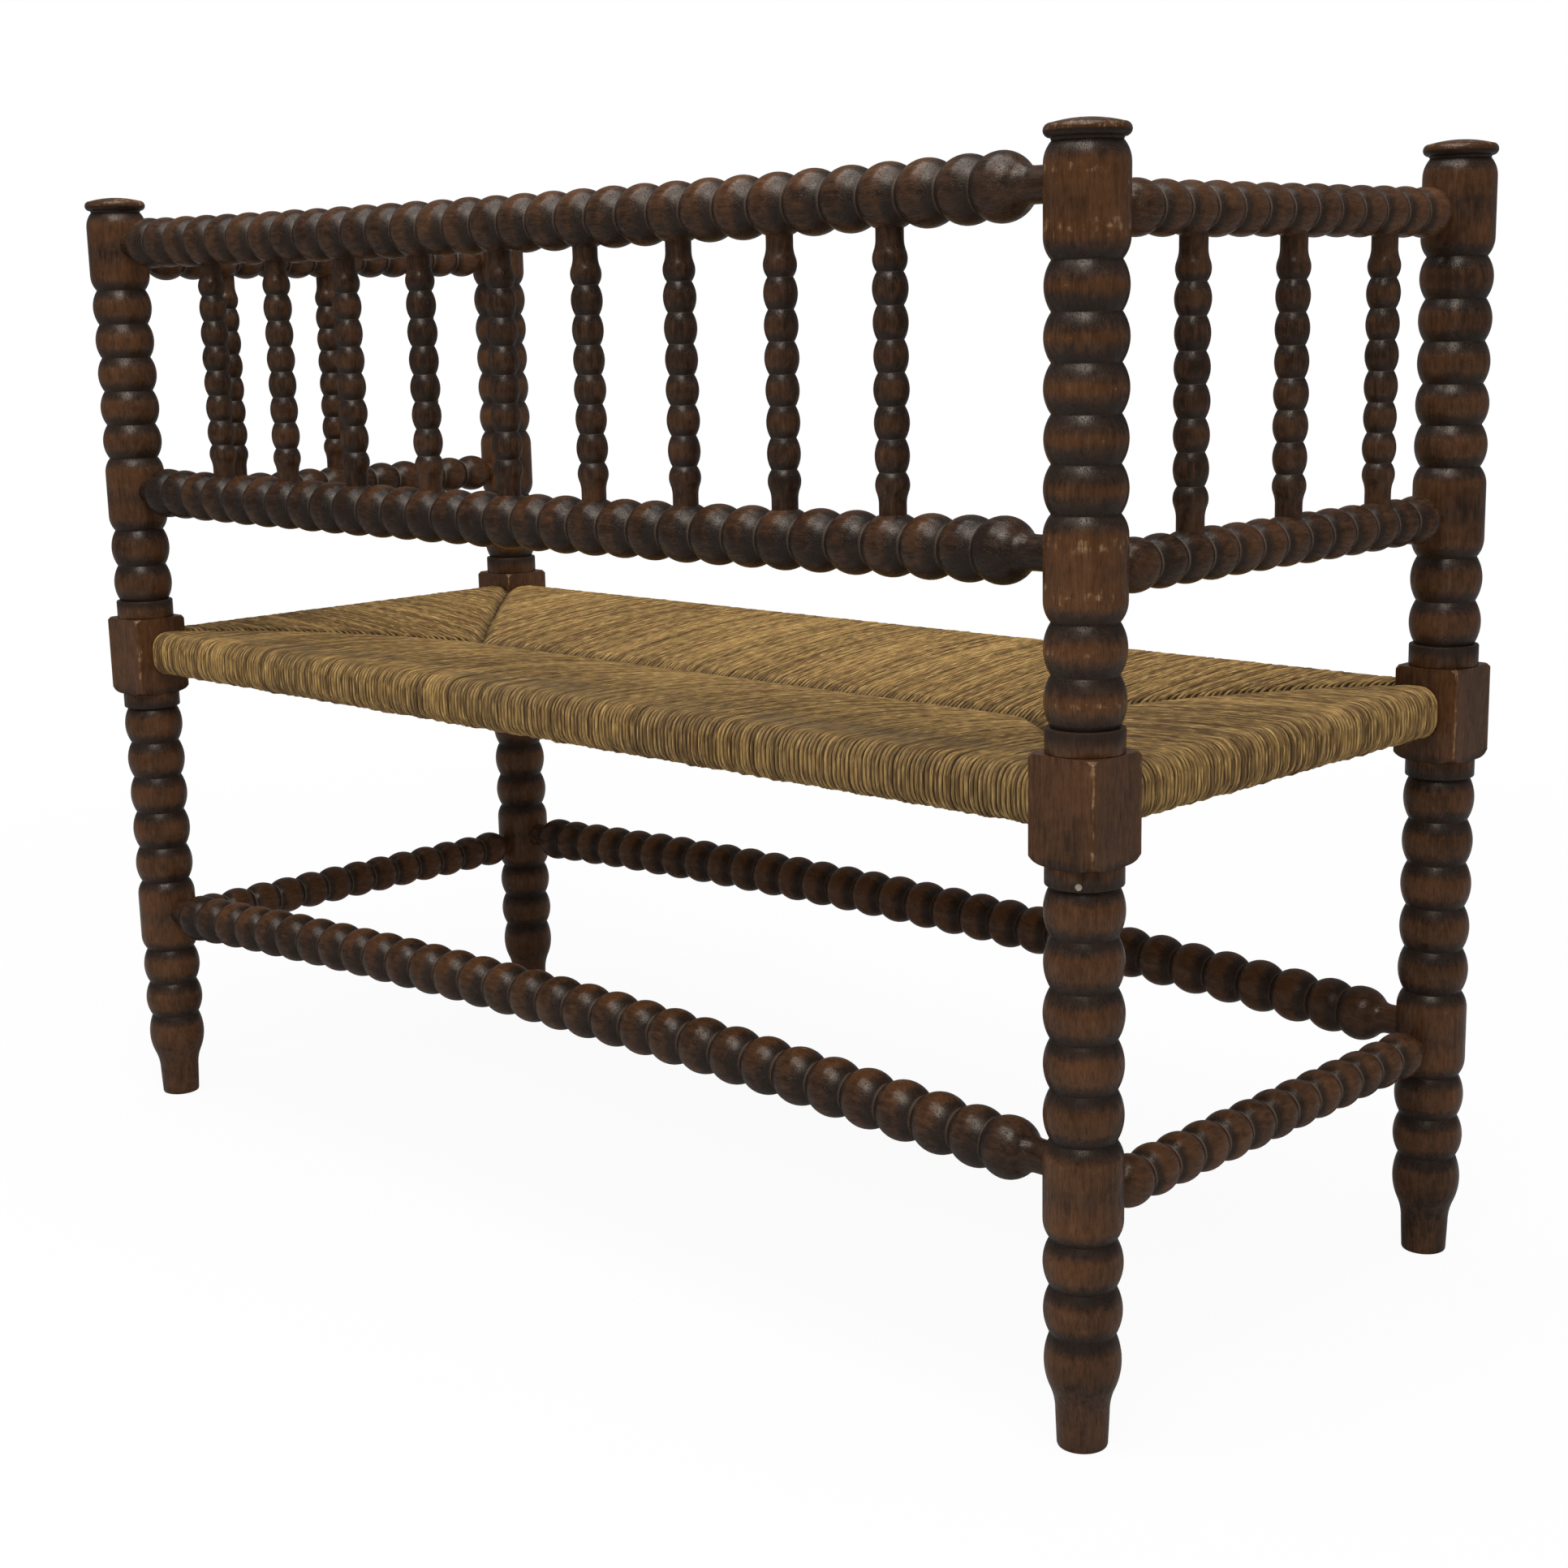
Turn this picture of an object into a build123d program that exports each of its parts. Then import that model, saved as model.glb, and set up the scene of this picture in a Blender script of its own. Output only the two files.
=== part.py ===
"""Bobbin-turned settle bench with a rush seat, millimetres.

The floor is z = 0, X runs along the bench, the open front faces -Y and the spindled back is at +Y.
"""
import os
from math import floor, sqrt

from build123d import *

# Post positions, axis to axis, and heights above the floor of the post tops and of the seat blocks
post_spacing_x = 1000.0
post_spacing_y = 402.0
bench_height = 771.4
block_z = 359.5

# Turned post, lengths from the floor up
foot_height = 72.0
low_bead_pitch = 30.0
stretcher_barrel_length = 61.0
lower_collar_length = 12.5
block_height = 64.5
upper_collar_length = 14.5
arm_bead_pitch = 29.8
lower_rail_barrel_length = 60.5
top_barrel_length = 62.8
cap_height = 12.0

# Beads along the post: two counted rows, and the pitch that the two other rows come close to
low_bead_count = 2
arm_bead_count = 2
post_bead_pitch = 28.5

# Turned post, radii and roundings
post_radius = 24.0
post_groove_radius = 19.6
barrel_rounding = 12.0
collar_radius = 23.2
block_side = 46.8
block_arris = 1.5
block_upper_shoulder = 3.0
block_lower_shoulder = 8.0
block_ledge = 1.0
foot_bulge_radius = 23.2
foot_bulge_curve = 42.0
foot_ankle_radius = 16.3
foot_ankle_curve = 40.0
foot_tip_radius = 15.4
foot_tip_rounding = 1.4
cap_radius = 24.2
cap_flare_height = 1.4
cap_dome_height = 2.6

# Heights of the cross pieces above the middle of the barrel that holds them
back_top_rail_rise = 7.5
arm_top_rail_rise = -3.5
back_lower_rail_rise = 4.5
arm_lower_rail_rise = -2.5
right_arm_drop = 4.0
back_stretcher_rise = 8.0
front_stretcher_rise = 2.0
end_stretcher_rise = -8.0

# Long bead-turned pieces
back_rail_bead_radius = 20.0
long_stretcher_bead_radius = 19.5
long_bead_pitch = 30.0
long_cove_radius = 13.0
long_tenon_radius = 10.5
bulb_set_in = 5.0

# Set of the long pieces: rise of the middle, rise of the right end, and shift of the beads to the right
back_rail_bow = -3.0
back_stretcher_bow = 13.0
front_stretcher_bow = 12.0
back_rail_tilt = -2.0
back_stretcher_tilt = -4.0
back_rail_shift = 3.5

# Short bead-turned pieces
short_bead_radius = 16.2
short_groove_radius = 11.6
short_bead_pitch = 26.2
short_cove_radius = 5.0
short_tenon_radius = 8.2

# Spindles, spaced by whole beads of the rails that hold them
spindle_bead_pitch = 19.5
spindle_bead_radius = 10.9
spindle_groove_radius = 8.0
spindle_vase_radius = 10.5
spindle_vase_curve = 12.0
spindle_cove_radius = 20.0
spindle_tenon_radius = 8.4
spindle_axis_gap = 5.0
back_spindle_every = 3
arm_spindle_every = 4
back_spindles_each_side = 4
arm_spindles_each_side = 1
arm_spindle_shift = -4.0

# Tenon fits
tenon_clearance = 0.1
tenon_end_gap = 0.5
tenon_chamfer = 1.0
mortise_wall = 1.5

# Rush seat and the bars inside it, the bars set above the bottom of the blocks
seat_rail_rise = 34.7
seat_rail_width = 18.0
seat_rail_height = 25.0
seat_rail_rounding = 8.0
seat_rail_set_in = 3.0
seat_rail_tenon_radius = 7.0
rush_cord = 5.0
rush_clearance = 0.3
seat_crown_drop = 4.0
seat_seam_drop = 17.0
seat_belly_drop = 5.0
seat_seam_lift = 2.0

# Nail in the collar of one back post
nail_radius = 2.0
nail_length = 14.0
nail_proud = 0.6
nail_angle = 119.0

# Heights along the post
stretcher_barrel_z = foot_height + low_bead_count * low_bead_pitch
leg_beads_z = stretcher_barrel_z + stretcher_barrel_length
lower_collar_z = block_z - lower_collar_length
upper_collar_z = block_z + block_height
arm_beads_z = upper_collar_z + upper_collar_length
lower_barrel_z = arm_beads_z + arm_bead_count * arm_bead_pitch
upper_beads_z = lower_barrel_z + lower_rail_barrel_length
cap_z = bench_height - cap_height
top_barrel_z = cap_z - top_barrel_length

# Beads that fill the leg below the seat and the post above the lower rails
leg_run = lower_collar_z - leg_beads_z
leg_bead_count = max(1, round(leg_run / post_bead_pitch))
leg_bead_pitch = leg_run / leg_bead_count
upper_run = top_barrel_z - upper_beads_z
upper_bead_count = max(1, round(upper_run / post_bead_pitch))
upper_bead_pitch = upper_run / upper_bead_count

# Heights of the cross pieces
top_barrel_mid = top_barrel_z + top_barrel_length / 2
lower_barrel_mid = lower_barrel_z + lower_rail_barrel_length / 2
stretcher_barrel_mid = stretcher_barrel_z + stretcher_barrel_length / 2
back_top_rail_z = top_barrel_mid + back_top_rail_rise
arm_top_rail_z = top_barrel_mid + arm_top_rail_rise
back_lower_rail_z = lower_barrel_mid + back_lower_rail_rise
arm_lower_rail_z = lower_barrel_mid + arm_lower_rail_rise
back_stretcher_z = stretcher_barrel_mid + back_stretcher_rise
front_stretcher_z = stretcher_barrel_mid + front_stretcher_rise
end_stretcher_z = stretcher_barrel_mid + end_stretcher_rise
seat_rail_z = block_z + seat_rail_rise

# Post axes, and tenon tips that stay clear of the tenon crossing them in the same post
half_x = post_spacing_x / 2
half_y = post_spacing_y / 2
block_face_x = half_x - block_side / 2
block_face_y = half_y - block_side / 2
long_tenon_tip = half_x - short_tenon_radius - mortise_wall
short_tenon_tip = half_y - long_tenon_radius - mortise_wall
seat_rail_x = half_x - seat_rail_set_in
seat_rail_y = half_y - seat_rail_set_in
seat_tenon_tip_x = seat_rail_x - seat_rail_tenon_radius - mortise_wall
seat_tenon_tip_y = seat_rail_y - seat_rail_tenon_radius - mortise_wall


# Lathe outlines are lists of (radius, height) points: two for a line, three for an arc
def bead_row(z, count, pitch, groove, crest):
    """A row of round beads, each an arc from groove over crest to groove."""
    row = []
    for i in range(count):
        low = z + i * pitch
        row.append(((groove, low), (crest, low + pitch / 2), (groove, low + pitch)))
    return row


def barrel(z, length):
    """A plain stretch of post whose ends curve in to the grooves beside it."""
    drop = post_radius - post_groove_radius
    curve = (drop**2 + barrel_rounding**2) / (2 * drop)
    bend = post_radius - curve + sqrt(curve**2 - (barrel_rounding / 2) ** 2)
    top = z + length
    low_end = (post_radius, z + barrel_rounding)
    high_end = (post_radius, top - barrel_rounding)
    return [
        ((post_groove_radius, z), (bend, z + barrel_rounding / 2), low_end),
        (low_end, high_end),
        (high_end, (bend, top - barrel_rounding / 2), (post_groove_radius, top)),
    ]


def swell_and_cove(start, crest, curve, neck, cove):
    """An arc that swells from start over its crest and runs into a hollow arc down to a neck."""
    start_radius, start_z = start
    swell_radius = crest - curve
    crest_z = start_z + sqrt(curve**2 - (start_radius - swell_radius) ** 2)
    neck_z = crest_z + sqrt((curve + cove) ** 2 - (neck + cove - swell_radius) ** 2)
    swell_centre = Vector(swell_radius, crest_z)
    cove_centre = Vector(neck + cove, neck_z)
    towards = (cove_centre - swell_centre).normalized()
    meet = swell_centre + towards * curve
    middle = cove_centre - (towards + Vector(1, 0)).normalized() * cove
    return [
        (start, (crest, crest_z), (meet.X, meet.Y)),
        ((meet.X, meet.Y), (middle.X, middle.Y), (neck, neck_z)),
    ]


def tenon(z, radius, tip):
    """A straight round tenon from z to its chamfered tip, closed to the axis."""
    return [
        ((radius, z), (radius, tip - tenon_chamfer)),
        ((radius, tip - tenon_chamfer), (radius - tenon_chamfer, tip)),
        ((radius - tenon_chamfer, tip), (0, tip)),
    ]


def flipped(outline):
    """The same outline turned end for end about z = 0."""
    turned = []
    for points in reversed(outline):
        turned.append(tuple((r, -z) for r, z in reversed(points)))
    return turned


def outline_edges(outline, place):
    """Lines and arcs through the points of an outline, set in space by place."""
    edges = []
    for points in outline:
        corners = [place(*point) for point in points]
        if len(corners) == 2:
            edges.append(Edge.make_line(*corners))
        else:
            edges.append(Edge.make_three_point_arc(*corners))
    return edges


def lathe(outline):
    """Revolve about Z an outline that starts and ends on the axis."""
    edges = outline_edges(outline, lambda r, z: Vector(r, 0, z))
    edges.append(Edge.make_line(edges[-1] @ 1, edges[0] @ 0))
    return revolve(Face(Wire(edges)), Axis.Z)


def rod(start, direction, length, radius):
    """A plain cylinder from a point along a direction."""
    return extrude(Plane(start, z_dir=direction) * Circle(radius), length)


# Corner posts
def post_foot():
    """Outline of the foot from the floor: rounded tip, tapered ankle, bulge, first groove."""
    outline = swell_and_cove(
        (post_groove_radius, -foot_height),
        foot_bulge_radius,
        foot_bulge_curve,
        foot_ankle_radius,
        foot_ankle_curve,
    )
    flat = foot_tip_radius - foot_tip_rounding
    diagonal = foot_tip_rounding * sqrt(0.5)
    side = (foot_tip_radius, -foot_tip_rounding)
    bend = (flat + diagonal, diagonal - foot_tip_rounding)
    outline += [
        (outline[-1][2], side),
        (side, bend, (flat, 0)),
        ((flat, 0), (0, 0)),
    ]
    return flipped(outline)


def post_cap():
    """Outline of the cap: a short flared neck, a half-round edge and a shallow dome."""
    edge_z = cap_z + cap_flare_height
    dome_z = bench_height - cap_dome_height
    edge_bulge = (dome_z - edge_z) / 2
    inner = cap_radius - edge_bulge
    dome_curve = (inner**2 + cap_dome_height**2) / (2 * cap_dome_height)
    dome_bend = (inner / 2, bench_height - dome_curve + sqrt(dome_curve**2 - (inner / 2) ** 2))
    return [
        ((post_groove_radius, cap_z), (inner, edge_z)),
        ((inner, edge_z), (cap_radius, (edge_z + dome_z) / 2), (inner, dome_z)),
        ((inner, dome_z), dome_bend, (0, bench_height)),
    ]


def seat_block():
    """Square block left between the turned parts, its corners cut back by the turning tool."""
    corner = block_side * sqrt(0.5)
    ledge = collar_radius + block_ledge
    bend = (ledge + (corner - ledge) * sqrt(0.5), block_lower_shoulder * (1 - sqrt(0.5)))
    upper = block_height - block_upper_shoulder
    prism = extrude(RectangleRounded(block_side, block_side, block_arris), block_height)
    turned = lathe(
        [
            ((0, 0), (ledge, 0)),
            ((ledge, 0), bend, (corner, block_lower_shoulder)),
            ((corner, block_lower_shoulder), (corner, upper)),
            ((corner, upper), (corner - block_upper_shoulder, block_height)),
            ((corner - block_upper_shoulder, block_height), (0, block_height)),
        ]
    )
    return Pos(0, 0, block_z) * (prism & turned)


def plain_post():
    """The post before its mortises are bored, standing on the origin."""
    groove = post_groove_radius
    lower = post_foot()
    lower += bead_row(foot_height, low_bead_count, low_bead_pitch, groove, post_radius)
    lower += barrel(stretcher_barrel_z, stretcher_barrel_length)
    lower += bead_row(leg_beads_z, leg_bead_count, leg_bead_pitch, groove, post_radius)
    lower += [
        ((groove, lower_collar_z), (collar_radius, lower_collar_z)),
        ((collar_radius, lower_collar_z), (collar_radius, block_z)),
        ((collar_radius, block_z), (0, block_z)),
    ]
    upper = [
        ((0, upper_collar_z), (collar_radius, upper_collar_z)),
        ((collar_radius, upper_collar_z), (collar_radius, arm_beads_z)),
        ((collar_radius, arm_beads_z), (groove, arm_beads_z)),
    ]
    upper += bead_row(arm_beads_z, arm_bead_count, arm_bead_pitch, groove, post_radius)
    upper += barrel(lower_barrel_z, lower_rail_barrel_length)
    upper += bead_row(upper_beads_z, upper_bead_count, upper_bead_pitch, groove, post_radius)
    upper += barrel(top_barrel_z, top_barrel_length)
    upper += post_cap()
    return lathe(lower) + seat_block() + lathe(upper)


def nail(radius):
    """The nail, or its hole, in the lower collar of a post on the origin."""
    outward = Vector(1, 0, 0).rotate(Axis.Z, nail_angle)
    height = Vector(0, 0, lower_collar_z + nail_radius + mortise_wall)
    start = outward * (collar_radius + nail_proud - nail_length) + height
    return rod(start, outward, nail_length, radius)


def post(side_x, side_y, nailed=False):
    """One corner post in place, bored for every tenon that it holds."""
    axis_x = side_x * half_x
    axis_y = side_y * half_y
    long_z = [front_stretcher_z]
    if side_y > 0:
        tilt = side_x * back_rail_tilt
        long_z = [back_stretcher_z + side_x * back_stretcher_tilt]
        long_z += [back_top_rail_z + tilt, back_lower_rail_z + tilt]
    along = [(z, axis_y, long_tenon_tip, long_tenon_radius) for z in long_z]
    along.append((seat_rail_z, side_y * seat_rail_y, seat_tenon_tip_x, seat_rail_tenon_radius))
    drop = right_arm_drop if side_x > 0 else 0
    short_z = [end_stretcher_z, arm_top_rail_z - drop, arm_lower_rail_z - drop]
    across = [(z, axis_x, short_tenon_tip, short_tenon_radius) for z in short_z]
    across.append((seat_rail_z, side_x * seat_rail_x, seat_tenon_tip_y, seat_rail_tenon_radius))
    bores = []
    for z, y, tip, radius in along:
        start = (side_x * (tip + tenon_end_gap), y, z)
        bores.append(rod(start, (-side_x, 0, 0), block_side, radius + tenon_clearance))
    for z, x, tip, radius in across:
        start = (x, side_y * (tip + tenon_end_gap), z)
        bores.append(rod(start, (0, -side_y, 0), block_side, radius + tenon_clearance))
    if nailed:
        bores.append(Pos(axis_x, axis_y, 0) * nail(nail_radius + tenon_clearance))
    return Pos(axis_x, axis_y, 0) * plain_post() - bores


# Long bead-turned pieces, slightly bowed with age
def odd_count(half_length, pitch):
    """Largest odd number of beads, centred on the middle, that fits in twice the half length."""
    return 2 * floor((half_length - pitch / 2) / pitch) + 1


def long_tail(bead_radius, bulb_x):
    """Outline of the end bulb, cove, neck and tenon of a long piece, from inside the bulb."""
    outline = swell_and_cove(
        (0, bulb_x - bead_radius), bead_radius, bead_radius, long_tenon_radius, long_cove_radius
    )
    return outline + tenon(outline[-1][2][1], long_tenon_radius, long_tenon_tip)


def bulb_place(bead_radius):
    """Distance of the end bulbs from the middle: a pitch, less the set-in, past the last bead."""
    neck_z = swell_and_cove(
        (0, -bead_radius), bead_radius, bead_radius, long_tenon_radius, long_cove_radius
    )[-1][2][1]
    beads = odd_count(half_x - post_radius - neck_z - long_bead_pitch / 2, long_bead_pitch)
    return (beads + 1) / 2 * long_bead_pitch - bulb_set_in


def bow_at(x, bead_radius, bow, tilt):
    """Height of a bowed piece at x: a parabola from end bulb to end bulb, on a line that tilts."""
    share = x / bulb_place(bead_radius)
    return bow * (1 - share**2) + tilt * share


def long_piece(y, z, bead_radius, bow, tilt=0, shift=0):
    """A string of round beads along X on a shallow bow, with a tenon at both ends."""
    bulb_x = bulb_place(bead_radius)
    right = Pos(0, 0, tilt) * Rot(0, 90, 0) * lathe(long_tail(bead_radius, bulb_x + shift))
    left = Pos(0, 0, -tilt) * Rot(0, -90, 0) * lathe(long_tail(bead_radius, bulb_x - shift))
    pieces = [left]
    each_side = round(bulb_x / long_bead_pitch) - 1
    for i in range(-each_side, each_side + 1):
        x = i * long_bead_pitch + shift
        height = bow_at(x, bead_radius, bow, tilt)
        pieces.append(Pos(x, 0, height) * Rot(0, 90, 0) * Sphere(bead_radius))
    return Pos(0, y, z) * (right + pieces)


# Short bead-turned pieces
def short_piece(x, z):
    """A straight bead-turned rail along Y with a bulb, cove, neck and tenon at each end."""
    drop = short_bead_radius - short_groove_radius
    curve = (drop**2 + (short_bead_pitch / 2) ** 2) / (2 * drop)
    bulb = (short_bead_radius, curve, short_tenon_radius, short_cove_radius)
    end_length = swell_and_cove((short_groove_radius, 0), *bulb)[-1][2][1]
    beads = odd_count(half_y - post_radius - end_length, short_bead_pitch)
    end_groove = beads * short_bead_pitch / 2
    tail = swell_and_cove((short_groove_radius, end_groove), *bulb)
    tail += tenon(tail[-1][2][1], short_tenon_radius, short_tenon_tip)
    row = bead_row(-end_groove, beads, short_bead_pitch, short_groove_radius, short_bead_radius)
    return Pos(x, 0, z) * Rot(-90, 0, 0) * lathe(flipped(tail) + row + tail)


# Spindles
def spindle(axis_distance, rail_radius):
    """A spindle about its own middle, between two rails whose axes lie axis_distance apart."""
    half = axis_distance / 2
    vase = (spindle_vase_radius, spindle_vase_curve, spindle_tenon_radius, spindle_cove_radius)
    vase_length = swell_and_cove((spindle_groove_radius, 0), *vase)[-1][2][1]
    beads = floor(2 * (half - rail_radius - vase_length) / spindle_bead_pitch)
    end_groove = beads * spindle_bead_pitch / 2
    tail = swell_and_cove((spindle_groove_radius, end_groove), *vase)
    tail += tenon(tail[-1][2][1], spindle_tenon_radius, half - spindle_axis_gap)
    row = bead_row(
        -end_groove, beads, spindle_bead_pitch, spindle_groove_radius, spindle_bead_radius
    )
    return lathe(flipped(tail) + row + tail)


def spindle_bore(x, y, z, up, rail_radius):
    """Blind hole for a spindle tenon in a rail whose axis passes through the point."""
    start = (x, y, z + up * (spindle_axis_gap - tenon_end_gap))
    return rod(start, (0, 0, up), rail_radius, spindle_tenon_radius + tenon_clearance)


# Bars inside the rush
def seat_rail(height_first, face, tip):
    """A rounded bar along Z between two block faces, with a round tenon at each end."""
    if height_first:
        section = RectangleRounded(seat_rail_height, seat_rail_width, seat_rail_rounding)
    else:
        section = RectangleRounded(seat_rail_width, seat_rail_height, seat_rail_rounding)
    pin = tenon(0, seat_rail_tenon_radius, tip)
    return extrude(section, face, both=True) + lathe(flipped(pin) + pin)


# Rush seat: one half section from the outer edge to the seam, mitred round the four sides
seat_edge_x = seat_rail_x + seat_rail_width / 2 + rush_clearance + rush_cord
seat_edge_y = seat_rail_y + seat_rail_width / 2 + rush_clearance + rush_cord
seat_half_thickness = seat_rail_height / 2 + rush_clearance + rush_cord
seat_edge_rounding = seat_rail_rounding + rush_clearance + rush_cord


def seat_section(inset):
    """Closed outline of (depth in from the edge, height), inset on its top and bottom."""
    top = seat_rail_z + seat_half_thickness - inset
    bottom = seat_rail_z - seat_half_thickness + inset
    seam = seat_edge_y
    middle = (seat_edge_rounding + seam) / 2
    diagonal = seat_edge_rounding * (1 - sqrt(0.5))
    top_edge = (seat_edge_rounding, top)
    top_side = (0, top - seat_edge_rounding)
    bottom_side = (0, bottom + seat_edge_rounding)
    bottom_edge = (seat_edge_rounding, bottom)
    top_seam = (seam, top - seat_seam_drop)
    bottom_seam = (seam, bottom + seat_seam_lift)
    return [
        (top_edge, (middle, top - seat_crown_drop), top_seam),
        (top_seam, bottom_seam),
        (bottom_seam, (middle, bottom - seat_belly_drop), bottom_edge),
        (bottom_edge, (diagonal, bottom + diagonal), bottom_side),
        (bottom_side, top_side),
        (top_side, (diagonal, top - diagonal), top_edge),
    ]


def plan_prism(corners):
    """A tall prism on a plan polygon, standing on the floor."""
    return extrude(make_face(Polyline(*corners, close=True)), bench_height)


def long_panel(inset, start, mitre):
    """The back panel: section run along X, cut at start from the edge and mitre short of the seams."""
    edges = outline_edges(seat_section(inset), lambda d, z: Vector(0, seat_edge_y - d, z))
    shift = mitre * sqrt(2)
    outer = seat_edge_x - start - shift
    inner = seat_edge_x - seat_edge_y + mitre - shift
    corners = [
        (-outer, seat_edge_y - start),
        (outer, seat_edge_y - start),
        (inner, mitre),
        (-inner, mitre),
    ]
    run = extrude(Face(Wire(edges)), seat_edge_x, dir=(1, 0, 0), both=True)
    return run & plan_prism(corners)


def end_panel(inset, start, mitre):
    """The right-hand panel: the same section run along Y, a triangle in plan."""
    edges = outline_edges(seat_section(inset), lambda d, z: Vector(seat_edge_x - d, 0, z))
    shift = mitre * sqrt(2)
    outer = seat_edge_y - start - shift
    corners = [
        (seat_edge_x - start, -outer),
        (seat_edge_x - start, outer),
        (seat_edge_x - seat_edge_y + shift, 0),
    ]
    run = extrude(Face(Wire(edges)), seat_edge_y, dir=(0, 1, 0), both=True)
    return run & plan_prism(corners)


def block_clearance(gap):
    """Four square columns a gap larger than the blocks of the posts."""
    side = block_side + 2 * gap
    column = extrude(Rectangle(side, side), bench_height)
    return [Pos(x, y, 0) * column for x in (-half_x, half_x) for y in (-half_y, half_y)]


def four_sides(long_shape, end_shape):
    """Back, front, right and left copies of one long and one end panel."""
    front = mirror(long_shape, about=Plane.XZ)
    left = mirror(end_shape, about=Plane.YZ)
    return long_shape, front, end_shape, left


def rush_seat():
    """The woven cover: crowned panels, hollow where the bars and the stuffing lie."""
    back, front, right, left = four_sides(long_panel(0, 0, 0), end_panel(0, 0, 0))
    past_rail = rush_cord + rush_clearance + seat_rail_width / 2
    pockets = four_sides(
        long_panel(rush_cord, past_rail, rush_cord), end_panel(rush_cord, past_rail, rush_cord)
    )
    gap = 2 * rush_clearance
    rounding = seat_rail_rounding + rush_clearance
    along = RectangleRounded(seat_rail_height + gap, seat_rail_width + gap, rounding)
    across = RectangleRounded(seat_rail_width + gap, seat_rail_height + gap, rounding)
    tunnel_x = Rot(0, 90, 0) * extrude(along, half_x, both=True)
    tunnel_y = Rot(-90, 0, 0) * extrude(across, half_y, both=True)
    tunnels = [
        Pos(0, seat_rail_y, seat_rail_z) * tunnel_x,
        Pos(0, -seat_rail_y, seat_rail_z) * tunnel_x,
        Pos(seat_rail_x, 0, seat_rail_z) * tunnel_y,
        Pos(-seat_rail_x, 0, seat_rail_z) * tunnel_y,
    ]
    cover = back + [front, right, left]
    return cover - block_clearance(rush_clearance) - tunnels - list(pockets)


def stuffing():
    """The four pads between the two layers of rush: back, front, right and left."""
    inset = rush_cord + rush_clearance
    past_rail = rush_cord + seat_rail_width + 2 * rush_clearance
    pads = four_sides(
        long_panel(inset, past_rail, inset), end_panel(inset, past_rail, inset)
    )
    columns = block_clearance(2 * rush_clearance)
    return [pad - columns for pad in pads]


# The bench, piece by piece in the order of assembly
parts = {
    "back_left_post": post(-1, 1, nailed=True),
    "back_right_post": post(1, 1),
    "front_left_post": post(-1, -1),
    "front_right_post": post(1, -1),
    "collar_nail": Pos(-half_x, half_y, 0) * nail(nail_radius),
    "back_stretcher": long_piece(
        half_y,
        back_stretcher_z,
        long_stretcher_bead_radius,
        back_stretcher_bow,
        back_stretcher_tilt,
    ),
    "front_stretcher": long_piece(
        -half_y, front_stretcher_z, long_stretcher_bead_radius, front_stretcher_bow
    ),
    "left_stretcher": short_piece(-half_x, end_stretcher_z),
    "right_stretcher": short_piece(half_x, end_stretcher_z),
}

back_spindle_x = []
for i in range(-back_spindles_each_side, back_spindles_each_side + 1):
    back_spindle_x.append(i * back_spindle_every * long_bead_pitch + back_rail_shift)
lower_bores = []
upper_bores = []
back_gap = back_top_rail_z - back_lower_rail_z
for number, x in enumerate(back_spindle_x, 1):
    bow = bow_at(x, back_rail_bead_radius, back_rail_bow, back_rail_tilt)
    middle = (back_lower_rail_z + back_top_rail_z) / 2 + bow
    place = Pos(x, half_y, middle)
    parts[f"back_spindle_{number}"] = place * spindle(back_gap, back_rail_bead_radius)
    lower_z = back_lower_rail_z + bow
    upper_z = back_top_rail_z + bow
    lower_bores.append(spindle_bore(x, half_y, lower_z, 1, back_rail_bead_radius))
    upper_bores.append(spindle_bore(x, half_y, upper_z, -1, back_rail_bead_radius))
back_set = (back_rail_bead_radius, back_rail_bow, back_rail_tilt, back_rail_shift)
lower_rail = long_piece(half_y, back_lower_rail_z, *back_set)
upper_rail = long_piece(half_y, back_top_rail_z, *back_set)
parts["back_lower_rail"] = lower_rail - lower_bores
parts["back_top_rail"] = upper_rail - upper_bores

arm_gap = arm_top_rail_z - arm_lower_rail_z
for side, x, drop in (("left", -half_x, 0), ("right", half_x, right_arm_drop)):
    lower_z = arm_lower_rail_z - drop
    upper_z = arm_top_rail_z - drop
    lower_bores = []
    upper_bores = []
    for i in range(-arm_spindles_each_side, arm_spindles_each_side + 1):
        y = i * arm_spindle_every * short_bead_pitch + arm_spindle_shift
        number = i + arm_spindles_each_side + 1
        place = Pos(x, y, (lower_z + upper_z) / 2)
        parts[f"{side}_arm_spindle_{number}"] = place * spindle(arm_gap, short_bead_radius)
        lower_bores.append(spindle_bore(x, y, lower_z, 1, short_bead_radius))
        upper_bores.append(spindle_bore(x, y, upper_z, -1, short_bead_radius))
    parts[f"{side}_arm_lower_rail"] = short_piece(x, lower_z) - lower_bores
    parts[f"{side}_arm_top_rail"] = short_piece(x, upper_z) - upper_bores

long_bar = Rot(0, 90, 0) * seat_rail(True, block_face_x, seat_tenon_tip_x)
end_bar = Rot(-90, 0, 0) * seat_rail(False, block_face_y, seat_tenon_tip_y)
parts["back_seat_rail"] = Pos(0, seat_rail_y, seat_rail_z) * long_bar
parts["front_seat_rail"] = Pos(0, -seat_rail_y, seat_rail_z) * long_bar
parts["right_seat_rail"] = Pos(seat_rail_x, 0, seat_rail_z) * end_bar
parts["left_seat_rail"] = Pos(-seat_rail_x, 0, seat_rail_z) * end_bar
for side, pad in zip(("back", "front", "right", "left"), stuffing()):
    parts[f"{side}_stuffing"] = pad
parts["rush_seat"] = rush_seat()

os.makedirs("parts", exist_ok=True)
for name, shape in parts.items():
    export_step(shape, f"parts/{name}.step")
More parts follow.
